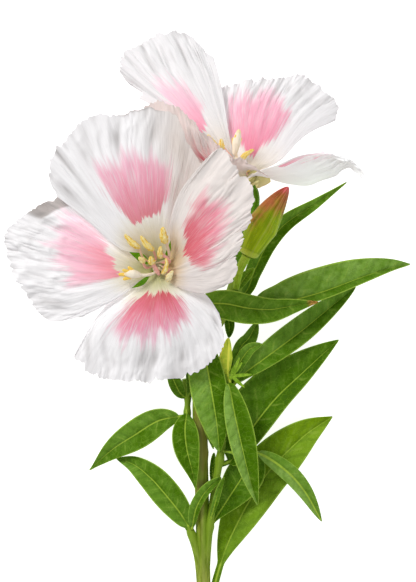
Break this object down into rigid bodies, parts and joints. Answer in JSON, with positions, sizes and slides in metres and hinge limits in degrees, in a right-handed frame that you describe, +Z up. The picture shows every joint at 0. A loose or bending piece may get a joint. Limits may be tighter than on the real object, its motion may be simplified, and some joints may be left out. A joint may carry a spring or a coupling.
{
  "type": "godetia",
  "caption": "Cut godetia stem lying flat, with open white and pink fan-petalled blooms, buds and narrow leaves.",
  "frame": {"origin": "on the table, under the middle of the lying plant's bounding box", "axes": "+Z up from the table towards the face of the front bloom, +Y along the stem from its cut end to the blooms, +X to the right as the blooms face the viewer"},
  "size_m": [0.1188, 0.1889, 0.0447],
  "materials": {
    "shoot": "smooth plant stem, olive green flushed purple brown, finely ridged",
    "leaf": "soft satin leaf, mid green with a pale yellow-green rib",
    "petal": "thin silky petal, white with a streaked pink patch in its middle",
    "stamen": "powdery golden anthers on coral pink filaments",
    "style": "soft cream, yellow at the tips of the lobes",
    "sepal": "soft olive green",
    "ovary": "soft green, finely downy",
    "bud": "satin, yellow-green at its foot to reddish brown and pink at its tip",
    "young_bud": "soft yellow-green"
  },
  "bodies": {
    "root": {"stem": "shoot", "leaf_right_long": "leaf", "leaf_right_curled": "leaf", "leaf_right_upper": "leaf", "leaf_right_middle": "leaf", "leaf_right_lower": "leaf", "leaf_right_drooping": "leaf", "leaf_front_hanging": "leaf", "leaf_right_shaded": "leaf", "leaf_centre_hanging": "leaf", "leaf_left_upper": "leaf", "leaf_left_lower": "leaf", "leaf_left_hanging": "leaf", "leaf_behind_bud": "leaf", "leaf_small_crossing": "leaf", "leaf_small_narrow": "leaf", "leaf_small_shoot": "leaf", "leaf_small_stem": "leaf", "leaf_small_under_bud": "leaf", "leaf_small_grey": "leaf", "leaf_small_behind": "leaf", "leaf_small_dark": "leaf", "leaf_small_left": "leaf", "leaf_small_tip": "leaf", "tuft": "young_bud", "front_ovary": "ovary", "front_petal_upper": "petal", "front_petal_right": "petal", "front_petal_lower": "petal", "front_petal_left": "petal", "front_stamens": "stamen", "front_style": "style", "front_sepals": "sepal", "back_ovary": "ovary", "back_petal_left": "petal", "back_petal_right": "petal", "back_petal_side": "petal", "back_petal_front": "petal", "back_stamens": "stamen", "back_style": "style", "back_sepals": "sepal", "bud_ovary": "ovary", "bud": "bud", "small_bud": "young_bud"}
  },
  "joints": []
}
